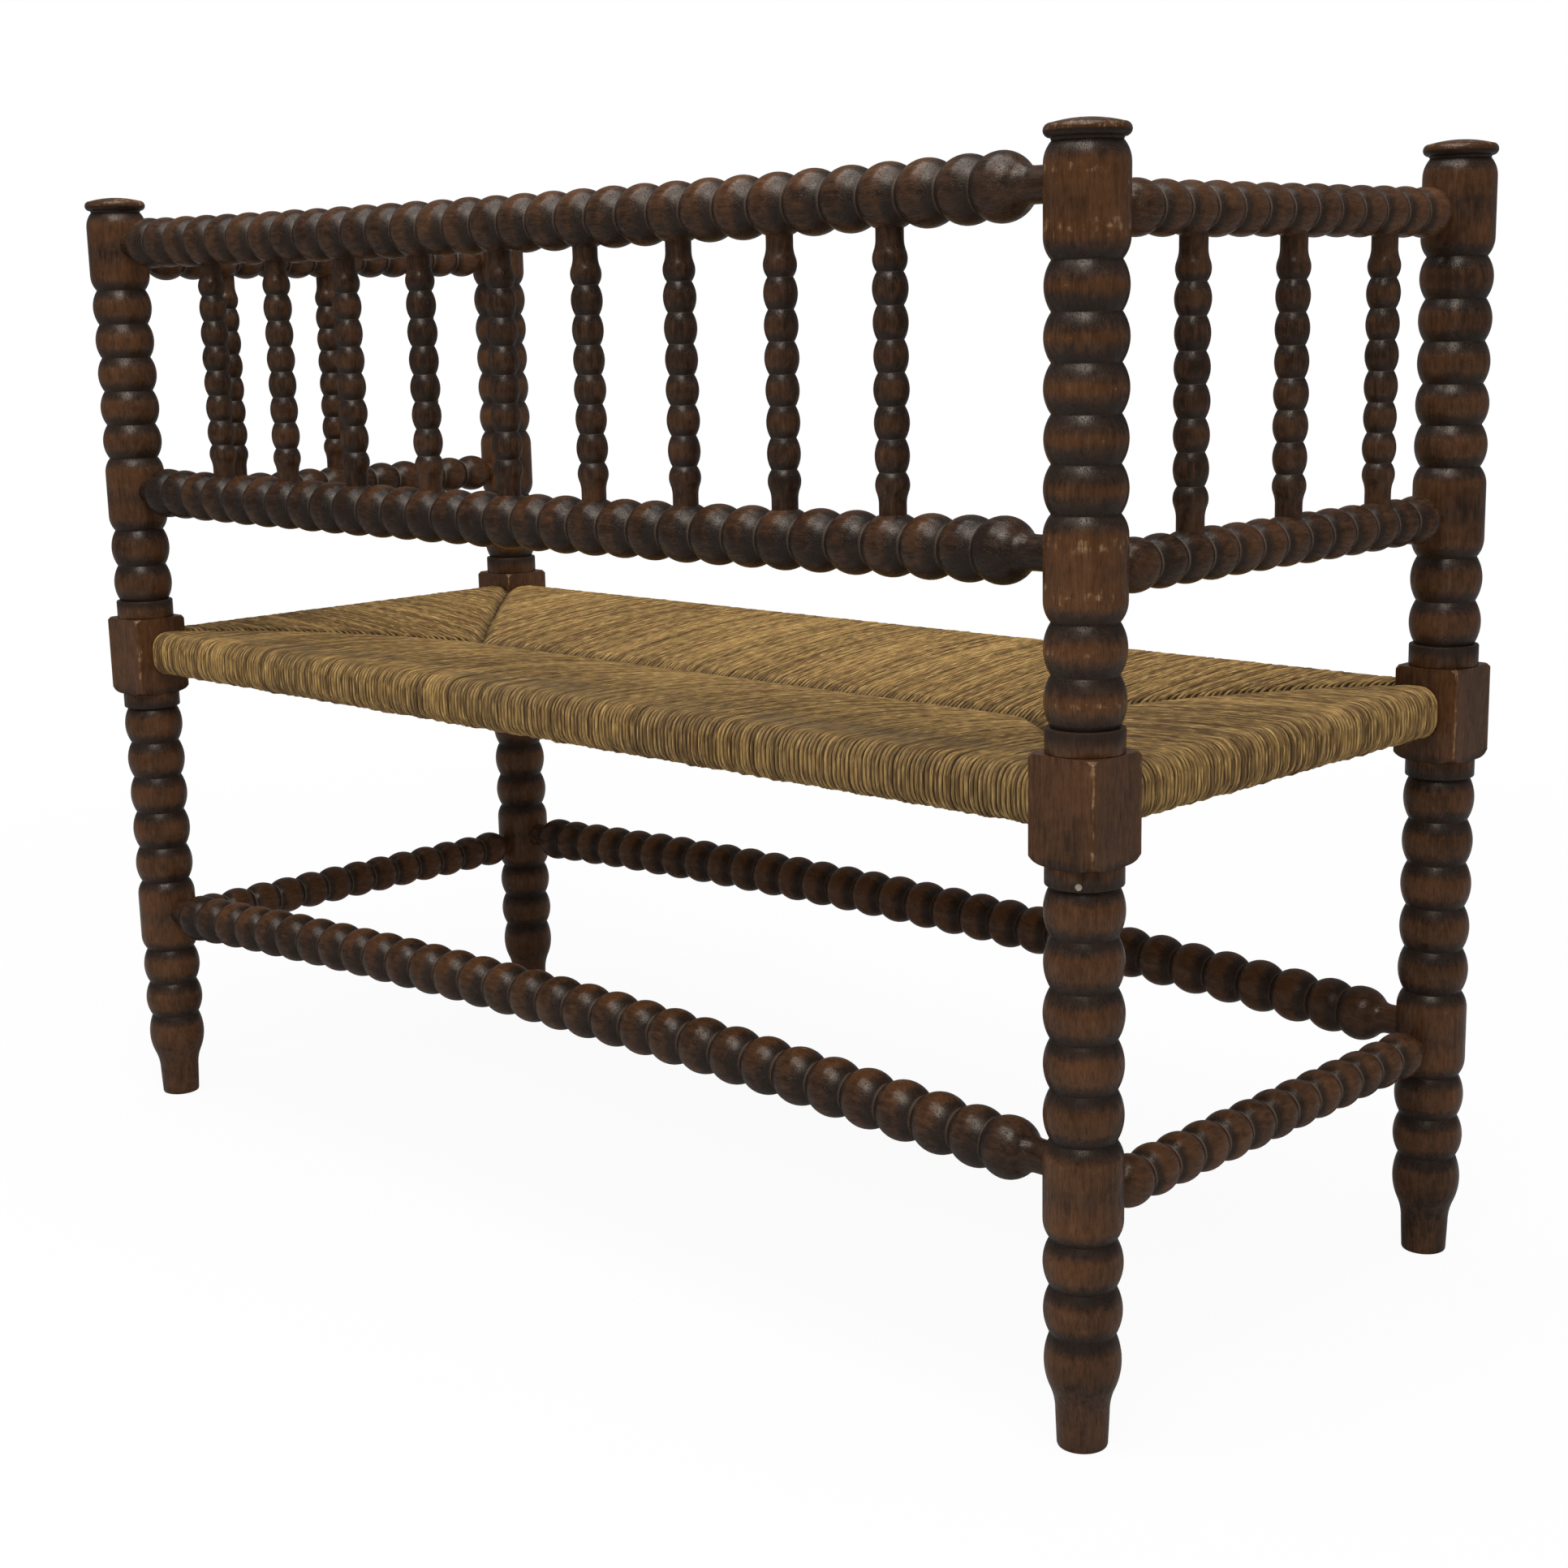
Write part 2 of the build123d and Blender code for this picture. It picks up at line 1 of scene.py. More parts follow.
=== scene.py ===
"""Bobbin-turned settle bench with a rush seat: the dressed model, in metres, in the CAD frame.

The floor is z = 0, X runs along the bench, the open front faces -Y and the spindled back is at +Y.
Turned and woven shapes are written in millimetres, and become metres in their meshes.
"""

import bpy
import numpy as np
from mathutils import Matrix


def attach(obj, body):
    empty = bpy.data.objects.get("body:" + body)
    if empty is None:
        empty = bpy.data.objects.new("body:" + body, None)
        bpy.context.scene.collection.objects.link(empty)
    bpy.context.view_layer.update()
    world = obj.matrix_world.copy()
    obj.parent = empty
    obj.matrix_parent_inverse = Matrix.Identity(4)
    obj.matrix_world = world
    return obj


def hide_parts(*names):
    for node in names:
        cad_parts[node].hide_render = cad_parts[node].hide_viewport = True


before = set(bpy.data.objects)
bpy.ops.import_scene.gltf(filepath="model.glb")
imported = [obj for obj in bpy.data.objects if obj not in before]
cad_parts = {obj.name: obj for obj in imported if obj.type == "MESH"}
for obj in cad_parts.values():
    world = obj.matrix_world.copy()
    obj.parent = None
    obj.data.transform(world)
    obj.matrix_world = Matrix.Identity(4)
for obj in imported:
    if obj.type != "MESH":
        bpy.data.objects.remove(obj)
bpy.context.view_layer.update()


# Corner posts: four tall turnings of dark stained hardwood, each from one square billet. The lathe
# left a tapered foot, rows of round beads, plain barrels where the rails are let in, and a square
# block at seat height that keeps the billet's flat faces. They are glued to every rail they hold.
POST_X = 500.0
POST_Y = 201.0
POST_RADIUS = 24.0
POST_GROOVE = 19.6
BARREL_SHOULDER = 12.0
COLLAR_RADIUS = 23.2
COLLAR_LOW = 347.0
COLLAR_HIGH = 438.5
BLOCK_HALF = 23.4
BLOCK_ARRIS = 1.5
BLOCK_LOW = 359.5
BLOCK_HIGH = 424.0
CAP_LOW = 759.4
CAP_MIDDLE = 764.8
CAP_ROUND = 4.0
CAP_INNER = 20.2
POST_TOP = 771.4
# Wear of a stretch of post: how far dark stain and painted shade reach from a groove, the relief
# of a bead's crest, and how much more of it the knocked shoulders of the barrels have.
LEG_WEAR = (9.0, 0.88, 0.06)
HANDLED_WEAR = (13.0, 1.0, 0.1)
SPARED_WEAR = (8.5, 0.82, 0.07)


def bead_row(grooves, groove_radius, crests, steps):
    """Heights and radii of a row of beads: between two grooves, the circle arc through the two
    groove bottoms and the crest midway, sampled at equal angles and short of its last groove."""
    half = np.diff(grooves)[:, None] / 2
    middle = (grooves[:-1] + grooves[1:])[:, None] / 2
    drop = (crests - groove_radius)[:, None]
    curve = (drop**2 + half**2) / (2 * drop)
    sweep = np.arcsin(half / curve) * np.linspace(-1, 1, steps, endpoint=False)
    height = middle + curve * np.sin(sweep)
    radius = crests[:, None] - curve * (1 - np.cos(sweep))
    return np.stack([height.ravel(), radius.ravel()])


def hand_turned(low, pitch, count, crest, luck):
    """Groove heights a pitch apart and crest radii, each off by a fraction of a millimetre as the
    gouge leaves them; the two end grooves stay where they are."""
    grooves = low + pitch * np.arange(count + 1.0)
    grooves[1:-1] += luck.uniform(-0.35, 0.35, count - 1)
    return grooves, crest - luck.uniform(0.0, 0.35, count)


def swell_and_cove(start_radius, start_height, crest, curve, neck, cove, steps):
    """Heights and radii of an arc that swells from the start over its crest, and of the hollow
    arc of radius cove that leaves it smoothly and ends parallel to the axis at the neck."""
    centre = crest - curve
    crest_height = start_height + np.sqrt(curve**2 - (start_radius - centre) ** 2)
    neck_height = crest_height + np.sqrt((curve + cove) ** 2 - (neck + cove - centre) ** 2)
    lean = np.arctan2(neck_height - crest_height, neck + cove - centre)
    first = np.arctan2(start_height - crest_height, start_radius - centre)
    swell = np.linspace(first, lean, steps)
    hollow = np.linspace(lean + np.pi, np.pi, steps)[1:]
    height = np.concatenate([crest_height + curve * np.sin(swell), neck_height + cove * np.sin(hollow)])
    radius = np.concatenate([centre + curve * np.cos(swell), neck + cove + cove * np.cos(hollow)])
    return np.stack([height, radius])


def barrel(low, length):
    """A plain stretch of post: each end is the arc that drops to the groove radius over the length
    of a shoulder."""
    drop = POST_RADIUS - POST_GROOVE
    curve = (drop**2 + BARREL_SHOULDER**2) / (2 * drop)
    turn = np.linspace(0, np.arcsin(BARREL_SHOULDER / curve), 7)
    radius = POST_RADIUS - curve * (1 - np.cos(turn))
    inward = BARREL_SHOULDER - curve * np.sin(turn)
    plain = np.linspace(BARREL_SHOULDER, length - BARREL_SHOULDER, 9)[1:-1]
    height = low + np.concatenate([inward[::-1], plain, length - inward])
    return np.stack([height, np.concatenate([radius[::-1], 0 * plain + POST_RADIUS, radius])])[:, :-1]


def rounded_square(angle):
    """Distance from the axis to the block's square, its arrises small arcs: half side over the
    larger of cosine and sine, and near a diagonal the far crossing of the corner arc."""
    turn = np.mod(angle, np.pi / 2) - np.pi / 4
    flat = BLOCK_HALF / np.maximum(np.abs(np.cos(angle)), np.abs(np.sin(angle)))
    centre = (BLOCK_HALF - BLOCK_ARRIS) * np.sqrt(2)
    inside = np.maximum(BLOCK_ARRIS**2 - (centre * np.sin(turn)) ** 2, 0)
    arc = centre * np.cos(turn) + np.sqrt(inside)
    tangent = np.pi / 4 - np.arctan((BLOCK_HALF - BLOCK_ARRIS) / BLOCK_HALF)
    return np.where(np.abs(turn) < tangent, arc, flat)


def grid_faces(rows, columns, wrap_columns):
    """Quads between neighbouring rows and columns, closed round one of the two, and a polygon over
    each open end."""
    index = np.arange(rows * columns).reshape(rows, columns)
    if wrap_columns:
        index = np.concatenate([index, index[:, :1]], axis=1)
        ends = [index[0, -2::-1].tolist(), index[-1, :-1].tolist()]
    else:
        index = np.concatenate([index, index[:1]], axis=0)
        ends = [index[:-1, 0].tolist(), index[-2::-1, -1].tolist()]
    quads = np.stack([index[:-1, :-1], index[:-1, 1:], index[1:, 1:], index[1:, :-1]], axis=-1)
    return quads.reshape(-1, 4).tolist() + ends


def new_piece(name, points, faces, nodes, slot, finish, crease, **attributes):
    """A smooth-shaded mesh object on the bench's one body, in place of its CAD nodes. Points are in
    millimetres; each attribute is one number or one vector per point."""
    mesh = bpy.data.meshes.new(name)
    mesh.from_pydata((points.reshape(-1, 3) * 0.001).tolist(), [], faces)
    for title, values in attributes.items():
        if values.shape[-1:] == (3,):
            layer = mesh.attributes.new(title, "FLOAT_VECTOR", "POINT")
            layer.data.foreach_set("vector", values.reshape(-1).astype(np.float32))
        else:
            layer = mesh.attributes.new(title, "FLOAT", "POINT")
            layer.data.foreach_set("value", values.reshape(-1).astype(np.float32))
    mesh.shade_smooth()
    mesh.set_sharp_from_angle(angle=np.radians(crease))
    mesh.materials.append(finish)
    piece = bpy.data.objects.new(name, mesh)
    bpy.context.collection.objects.link(piece)
    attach(piece, "root")
    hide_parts(*nodes)
    return piece


class Shade:
    """A socket of a material's node tree. Operators between shades and numbers add Math nodes, and
    node() adds a node of any type."""

    def __init__(self, tree, socket=None):
        self.tree = tree
        self.socket = socket

    def node(self, kind, settings, inputs, output=0):
        made = self.tree.nodes.new(kind)
        for name, value in settings.items():
            setattr(made, name, value)
        for name, value in inputs.items():
            if isinstance(value, Shade):
                self.tree.links.new(value.socket, made.inputs[name])
            else:
                made.inputs[name].default_value = value
        return Shade(self.tree, made.outputs[output] if len(made.outputs) else None)

    def math(self, operation, *values):
        return self.node("ShaderNodeMath", {"operation": operation}, dict(enumerate(values)))

    def __add__(self, other):
        return self.math("ADD", self, other)

    __radd__ = __add__

    def __sub__(self, other):
        return self.math("SUBTRACT", self, other)

    def __rsub__(self, other):
        return self.math("SUBTRACT", other, self)

    def __mul__(self, other):
        return self.math("MULTIPLY", self, other)

    __rmul__ = __mul__

    def __pow__(self, other):
        return self.math("POWER", self, other)

    def sine(self):
        return self.math("SINE", self)

    def rise(self, low, high):
        """0 below low, 1 above high, a smooth step between."""
        settings = {"interpolation_type": "SMOOTHSTEP"}
        return self.node("ShaderNodeMapRange", settings, {"Value": self, 1: low, 2: high})

    def stretched(self, x, y, z):
        """A vector multiplied component by component."""
        return self.node("ShaderNodeVectorMath", {"operation": "MULTIPLY"}, {0: self, 1: (x, y, z)})

    def speckle(self, scale, detail):
        """Noise from 0 to 1 over this vector."""
        inputs = {"Vector": self, "Scale": scale, "Detail": detail}
        return self.node("ShaderNodeTexNoise", {}, inputs)

    def part(self, letter):
        """One component of this vector."""
        return self.node("ShaderNodeSeparateXYZ", {}, {0: self}, "XYZ".index(letter))

    def blend(self, first, second):
        """Colour first where this is 0, second where it is 1."""
        settings = {"data_type": "RGBA", "clamp_factor": True}
        return self.node("ShaderNodeMix", settings, {0: self, 6: first, 7: second}, 2)


def stain(red, green, blue):
    """Linear colour of an 8-bit display colour: the display curve undone channel by channel."""
    share = np.array([red, green, blue]) / 255
    linear = np.where(share <= 0.04045, share / 12.92, ((share + 0.055) / 1.055) ** 2.4)
    return (*(float(value) for value in linear), 1.0)


def new_finish(name):
    """An empty material and the shade that adds nodes to it."""
    finish = bpy.data.materials.new(name)
    finish.use_nodes = True
    finish.node_tree.nodes.clear()
    return finish, Shade(finish.node_tree)


def surface(shade, **sockets):
    """The principled shader with these sockets, at the material's output. Height makes a bump."""
    inputs = {name.replace("_", " "): value for name, value in sockets.items() if name != "Height"}
    if "Height" in sockets:
        bump = {"Strength": 0.6, "Distance": 0.001, "Height": sockets["Height"]}
        inputs["Normal"] = shade.node("ShaderNodeBump", {}, bump)
    principled = shade.node("ShaderNodeBsdfPrincipled", {}, inputs)
    shade.node("ShaderNodeOutputMaterial", {}, {"Surface": principled})


def stained_wood():
    """Growth rings are a sine of the distance from a pith that lies beside the piece, fibres and
    streaks are noise drawn out along the grain, and stain gathers in the grooves and wears off the
    crests; with it, painted shade darkens the grooves and painted light warms the crests. Relief is 0
    in a groove, 1 on a crest, above 1 where hands and knocks have rubbed, and below 0 where dust and
    old wax sit in the bottom of a groove."""
    finish, shade = new_finish("stained_wood")
    grain = shade.node("ShaderNodeAttribute", {"attribute_name": "grain"}, {}, "Vector")
    relief = shade.node("ShaderNodeAttribute", {"attribute_name": "relief"}, {}, "Fac")
    tone = shade.node("ShaderNodeAttribute", {"attribute_name": "tone"}, {}, "Fac")
    drift = grain.stretched(1, 1, 0.2).speckle(38, 3)
    pith_x = -0.047
    pith_y = 0.021
    ring_width = 0.0034
    across = (grain.part("X") - pith_x) ** 2 + (grain.part("Y") - pith_y) ** 2
    ring = (across**0.5 + 0.005 * (drift - 0.5)) * (2 * np.pi / ring_width)
    rings = ring.sine() * 0.5 + 0.5
    fibre = grain.stretched(1, 1, 0.06).speckle(1100, 4)
    streak = grain.stretched(1, 1, 0.26).speckle(300, 5)
    pores = grain.stretched(1, 1, 0.06).speckle(1900, 2).rise(0.56, 0.7)
    cloud = grain.stretched(1, 1, 0.5).speckle(26, 4)
    scuff = grain.speckle(170, 5)
    depth = 0.43 + 0.1 * (rings - 0.5) + 1.0 * (fibre - 0.5) + 1.1 * (streak - 0.5)
    depth = depth + 1.5 * (cloud - 0.5) + 0.7 * (scuff - 0.5)
    colour = (depth + tone).blend(stain(36, 24, 17), stain(89, 60, 40))
    # Crests: stain worn thin there, and a painted light on the middle of each bead.
    thin_stain_and_lit_crest = (relief + 0.4 * (cloud - 0.5)).rise(0.62, 1.0)
    colour = (thin_stain_and_lit_crest * 0.28).blend(colour, stain(102, 61, 26))
    worn = (relief + 0.7 * (scuff - 0.5)).rise(0.97, 1.25) * (streak + cloud - 0.5).rise(0.5, 0.8)
    colour = (worn * 0.4).blend(colour, stain(132, 102, 72))
    rubbed = (relief + 0.8 * (scuff - 0.5)).rise(1.05, 1.22) * (fibre + 0.6 * streak).rise(0.68, 0.92)
    colour = (rubbed * 0.7).blend(colour, stain(160, 126, 90))
    # Dark by the grooves: stain gathered there, and painted shade in and beside each groove.
    hollow = 1 - (relief + 0.3 * (scuff - 0.5)).rise(0.14, 0.9)
    colour = (hollow * 0.78).blend(colour, stain(30, 24, 22))
    colour = (pores * 0.5).blend(colour, stain(24, 16, 11))
    dust = 1 - (relief + 0.08 * (scuff - 0.5)).rise(-0.26, -0.06)
    colour = (dust * 0.7).blend(colour, stain(104, 86, 72))
    rough = 0.21 + 0.36 * (scuff - 0.5) + 0.1 * hollow + 0.16 * pores + 0.16 * rubbed + 0.3 * dust
    height = 0.16 * fibre - 0.2 * pores + 0.2 * streak + 0.2 * scuff
    surface(
        shade,
        Base_Color=colour,
        Roughness=rough,
        Height=height,
        Specular_IOR_Level=0.34,
        Specular_Tint=(1.0, 0.88, 0.76, 1.0),
    )
    return finish


wood = stained_wood()


def turned_piece(name, height, radius, relief, angle, axis, place, tone, number, bow=None):
    """A lathe grid: radius times the cosine and sine of the column's angle, at the row's height
    along the axis. Bow gives what is added to Z at each height. The grain runs along the axis, and
    starts elsewhere in the timber each time."""
    shape = np.broadcast_shapes(height.shape, radius.shape, angle.shape)
    ones = np.ones(shape)
    radius = ones * radius
    local = np.stack([radius * np.cos(angle), radius * np.sin(angle), ones * height], axis=-1)
    points = np.roll(local, {"Z": 0, "X": 1, "Y": 2}[axis], axis=-1)
    if bow is not None:
        points[..., 2] += bow(height)
    points = points + np.array(place)
    luck = np.random.default_rng(1000 + number)
    offset = np.append(luck.uniform(-18, 18, 2), luck.uniform(-900, 900))
    new_piece(
        "turned_" + name,
        points,
        grid_faces(*shape, True),
        [name],
        "stained_wood",
        wood,
        36,
        grain=(local + offset) * 0.001,
        relief=np.broadcast_to(relief, shape),
        tone=np.broadcast_to(tone, shape),
    )


def groove_relief(height, grooves, reach):
    """0 in a groove and 1 from a reach away: distance along the axis to the nearest groove. Heights
    come and go as one column."""
    nearest = np.abs(height - np.asarray(grooves)).min(axis=1, keepdims=True)
    return np.clip(nearest / reach, 0, 1)


def post_columns():
    """Column angles round a post: five close together at each arris of the block, the rest even."""
    tangent = np.pi / 4 - np.arctan((BLOCK_HALF - BLOCK_ARRIS) / BLOCK_HALF)
    corner = np.pi / 4 + tangent * np.array([-1, -0.5, 0, 0.5, 1])
    face = np.linspace(corner[-1], np.pi * 3 / 4 - tangent, 19)[1:-1]
    quarter = np.concatenate([corner, face])
    return (quarter + np.pi / 2 * np.arange(4)[:, None]).ravel()


def collar(low, high):
    """A plain ring between two heights, its edges softly broken."""
    height = [low, low, low + 0.3, low + 0.9, (low + high) / 2, high - 0.9, high - 0.3, high]
    inset = [COLLAR_RADIUS - POST_GROOVE, 0.8, 0.25, 0, 0, 0, 0.25, 0.8]
    return np.stack([np.array(height), COLLAR_RADIUS - np.array(inset)])


def post_turnings(luck):
    """Heights and radii, as columns, of the rows below and above the block, and the heights of the
    grooves. From the floor up they are foot, two beads, barrel, five beads and collar, then collar,
    two beads, barrel, five beads, barrel and cap, joined end to end."""
    dark = [CAP_LOW]

    def beads(low, pitch, count):
        grooves, crests = hand_turned(low, pitch, count, POST_RADIUS, luck)
        dark.extend(grooves)
        return bead_row(grooves, POST_GROOVE, crests, 16)

    foot_top = 72.0
    foot = swell_and_cove(POST_GROOVE, -foot_top, 23.2, 42.0, 16.3, 40.0, 16)
    lower = [
        np.array([[0.0, 0.4, 1.4, 8.0, 15.0], [14.0, 15.0, 15.4, 15.7, 16.0]]),
        np.stack([-foot[0, ::-1], foot[1, ::-1]])[:, :-1],
        beads(foot_top, 30.0, 2),
        barrel(132.0, 61.0),
        beads(193.0, 30.8, 5),
        np.array([[COLLAR_LOW], [POST_GROOVE]]),
        collar(COLLAR_LOW, BLOCK_LOW)[:, 1:-1],
    ]
    turn = np.linspace(-np.pi / 2, np.pi / 2, 9)
    dome = CAP_INNER * np.linspace(0.94, 0.02, 10)
    upper = [
        collar(BLOCK_HIGH, COLLAR_HIGH)[:, 1:],
        beads(COLLAR_HIGH, 29.8, 2),
        barrel(498.1, 60.5),
        beads(558.6, 27.6, 5),
        barrel(696.6, 62.8),
        np.array([[CAP_LOW], [POST_GROOVE]]),
        np.stack([CAP_MIDDLE + CAP_ROUND * np.sin(turn), CAP_INNER + CAP_ROUND * np.cos(turn)]),
        np.stack([POST_TOP - 2.6 * (dome / CAP_INNER) ** 2, dome]),
    ]
    return np.concatenate(lower, axis=1)[:, :, None], np.concatenate(upper, axis=1)[:, :, None], dark


def post(name, side_x, side_y, wear, tone, number):
    """The turned rows with the block between them. In the block the radius is the rounded square.
    Under it the rows go out from the collar on a quarter ellipse, and on top they stop at the
    turned cone. The cap is rubbed from its rim up and stained darker than the rest."""
    lower, upper, dark = post_turnings(np.random.default_rng(number))
    angle = post_columns()[None, :]
    square = rounded_square(angle)
    corner = BLOCK_HALF * np.sqrt(2)
    ledge = COLLAR_RADIUS + 1.0
    under_rise = 8.0
    cone_drop = 3.0
    under = COLLAR_RADIUS + (square - COLLAR_RADIUS) * np.linspace(0, 1, 7)[:, None]
    outward = np.clip((under - ledge) / (corner - ledge), 0, 1)
    under_height = BLOCK_LOW + under_rise * (1 - np.sqrt(1 - outward**2))
    low_meet = under_height[-1:]
    high_meet = BLOCK_HIGH - np.maximum(square - corner + cone_drop, 0)
    share = np.linspace(0, 1, 12)[1:, None]
    ones = np.ones_like(angle)
    height = np.concatenate(
        [
            lower[0] * ones,
            under_height,
            low_meet + (high_meet - low_meet) * share,
            BLOCK_HIGH * ones,
            upper[0] * ones,
        ]
    )
    radius = np.concatenate(
        [
            lower[1] * ones,
            under,
            square + 0 * share,
            np.minimum(square, corner - cone_drop),
            upper[1] * ones,
        ]
    )
    # Along each arris of the block the relief rises above 1: rubbed wear, and a painted highlight on
    # the edge.
    arris_start = 31.7
    arris_full = 32.3
    rubbed_and_lit_edge = np.clip((square - arris_start) / (arris_full - arris_start), 0, 1)
    arris = 0.86 + 0.28 * rubbed_and_lit_edge
    shoulders = np.array([143.0, 182.0, 509.0, 547.0, 708.0, 748.0])
    rubs = []
    for rows, (reach, crest, knock) in ((lower[0], LEG_WEAR), (upper[0], wear)):
        near = np.exp(-(((rows - shoulders) / 7.0) ** 2)).sum(axis=1, keepdims=True)
        crests = (crest + 0.12) * groove_relief(rows, dark, reach) - 0.12
        plain = np.clip(4 * groove_relief(rows, dark, 28.0) - 3, 0, 1)
        turned = crests - 0.16 * plain + knock * near
        rubs.append(np.where(rows > CAP_MIDDLE - CAP_ROUND / 4, 1.05, turned) * ones)
    # Under the block the relief falls to 0.3 at the collar: stain and painted shade in the corner.
    relief = np.concatenate([rubs[0], 0.3 + (arris - 0.3) * outward, arris + 0 * share, arris, rubs[1]])
    place = (side_x * POST_X, side_y * POST_Y, 0)
    tone = tone - 0.45 * (height > CAP_MIDDLE - CAP_ROUND / 2)
    turned_piece(name, height, radius, relief, angle, "Z", place, tone, number)


post("back_left_post", -1, 1, HANDLED_WEAR, 0.0, 1)
post("back_right_post", 1, 1, SPARED_WEAR, 0.06, 2)
post("front_left_post", -1, -1, SPARED_WEAR, -0.07, 3)
post("front_right_post", 1, -1, SPARED_WEAR, 0.08, 4)


# Nail: one small wire nail driven into the collar under the block of the near back post, in some
# old repair. Its head, slightly domed and rubbed bright, stands a little proud of the stained wood.
def nail_metal():
    """Grey steel with noise for the rubbed head and brown rust in patches."""
    finish, shade = new_finish("nail_metal")
    coords = shade.node("ShaderNodeTexCoord", {}, {}, "Object")
    patch = coords.speckle(900, 3)
    rust = patch.rise(0.5, 0.66)
    colour = rust.blend(stain(196, 186, 168), stain(132, 100, 72))
    rough = 0.38 + 0.4 * rust
    metal = 0.75 - 0.5 * rust
    surface(shade, Base_Color=colour, Roughness=rough, Metallic=metal, Height=0.2 * patch)
    return finish


def nail():
    """A lathe grid about the nail's own line: a shank, and a head whose face is a shallow dome."""
    turn = np.radians(119.0)
    outward = np.array([np.cos(turn), np.sin(turn), 0])
    sideways = np.array([-np.sin(turn), np.cos(turn), 0])
    along = np.array([-13.4, -0.2, 0.05, 0.3, 0.45, 0.55, 0.6])
    radius = np.array([1.2, 1.2, 2.0, 2.0, 1.5, 0.8, 0.05])
    angle = np.linspace(0, 2 * np.pi, 24, endpoint=False)
    around = np.cos(angle)[:, None] * sideways + np.sin(angle)[:, None] * np.array([0, 0, 1.0])
    centre = np.array([-POST_X, POST_Y, 350.5]) + outward * COLLAR_RADIUS
    points = centre + along[:, None, None] * outward + radius[:, None, None] * around
    faces = grid_faces(len(along), len(angle), True)
    new_piece("collar_nail_head", points, faces, ["collar_nail"], "nail_metal", nail_metal(), 40)


nail()


# Stretchers: four turned rails near the floor that tie the legs together. The long pair are strings
# of near-round beads, bowed upward with age; the end pair are lower and slimmer. Each ends in a
# bulb, a short neck and a round tenon that is glued into a barrel of the post.
LONG_PITCH = 30.0
LONG_BEADS = 29
LONG_BULB = 445.0
LONG_TIP = 489.0
TENON = 9.0
SHORT_PITCH = 26.2
SHORT_BEADS = 11
SHORT_TIP = 188.5


def rail_profile(pitch, count, crest, groove, set_in, cove, neck, tip, steps, luck):
    """A row of beads about the middle and at each end the bulb and cove that run into the neck.
    The bulb has the beads' curve and may be set in, which cuts the last bead short. Gives heights
    and radii as columns, and the grooves."""
    end = pitch * count / 2
    grooves, crests = hand_turned(-end, pitch, count, crest, luck)
    row = bead_row(grooves, groove, crests, steps)
    curve = ((crest - groove) ** 2 + (pitch / 2) ** 2) / (2 * (crest - groove))
    start = crest - curve + np.sqrt(curve**2 - ((pitch - set_in) / 2) ** 2)
    tail = swell_and_cove(start, end - set_in / 2, crest, curve, neck, cove, steps)
    tail = np.concatenate([tail, [[tip - 6.0, tip], [neck, neck]]], axis=1)
    head = np.stack([-tail[0, ::-1], tail[1, ::-1]])
    inside = np.abs(row[0]) < end - set_in / 2 - 0.1
    height, radius = np.concatenate([head, row[:, inside], tail], axis=1)[:, :, None]
    return height, radius, np.clip(grooves, set_in / 2 - end, end - set_in / 2)


def long_rail_lift(x, bow, tilt):
    """What age has added to a long rail's height: with u the distance from the middle over that of
    the bulbs, bow times one minus u squared, and tilt times u."""
    share = x / LONG_BULB
    return bow * np.maximum(1 - share**2, 0) + tilt * np.clip(share, -1, 1)


def long_rail(name, side_y, z, crest, bow, tilt, shift, tone, number):
    """Beads that are parts of spheres, in a row along X, and a bulb at each end. Beads and bulbs lie
    shifted along the rail, between tenons that stay where they are. The colour darkens over the last
    bead at each end, and the relief grows toward the top by the square of the angle's sine, as hand
    wear and as painted light from above on the tops of the beads."""
    luck = np.random.default_rng(number)
    groove = np.sqrt(crest**2 - (LONG_PITCH / 2) ** 2)
    height, radius, grooves = rail_profile(
        LONG_PITCH, LONG_BEADS, crest, groove, 5.0, 13.0, 10.5, LONG_TIP, 16, luck
    )
    height = height + shift * (np.abs(height) < LONG_TIP - TENON)
    last_bead = LONG_PITCH * (LONG_BEADS / 2 - 1)
    past = (np.abs(height) - last_bead) / LONG_PITCH
    relief = 0.9 * groove_relief(height, grooves + shift, 9.0) - 0.2
    relief = relief * (1 - 0.25 * np.clip(2 * past, 0, 1))
    tone = tone - 0.15 * np.clip(past, 0, 1)
    angle = np.linspace(0, 2 * np.pi, 48, endpoint=False)
    # Tops of the beads get more relief: hand wear, and a painted light from above that paler and golder
    # makes them.
    relief = relief * (1 + 0.35 * np.clip(np.sin(angle), 0, 1) ** 2)
    place = (0, side_y * POST_Y, z)
    turned_piece(
        name,
        height,
        radius,
        relief,
        angle,
        "X",
        place,
        tone,
        number,
        lambda x: long_rail_lift(x, bow, tilt),
    )


def short_rail(name, side_x, z, tone, number):
    """Slim beads in a row along Y, with a bulb and a neck at each end."""
    luck = np.random.default_rng(number)
    height, radius, grooves = rail_profile(
        SHORT_PITCH, SHORT_BEADS, 16.2, 11.6, 0.0, 5.0, 8.2, SHORT_TIP, 14, luck
    )
    relief = 1.04 * groove_relief(height, grooves, 6.0) - 0.28
    angle = np.linspace(0, 2 * np.pi, 44, endpoint=False)
    place = (side_x * POST_X, 0, z)
    turned_piece(name, height, radius, relief, angle, "Y", place, tone, number)


long_rail("back_stretcher", 1, 170.5, 19.5, 13.0, -4.0, 0.0, -0.08, 11)
long_rail("front_stretcher", -1, 164.5, 19.5, 12.0, 0.0, 0.0, 0.42, 12)
short_rail("left_stretcher", -1, 154.5, 0.12, 13)
short_rail("right_stretcher", 1, 154.5, 0.32, 14)


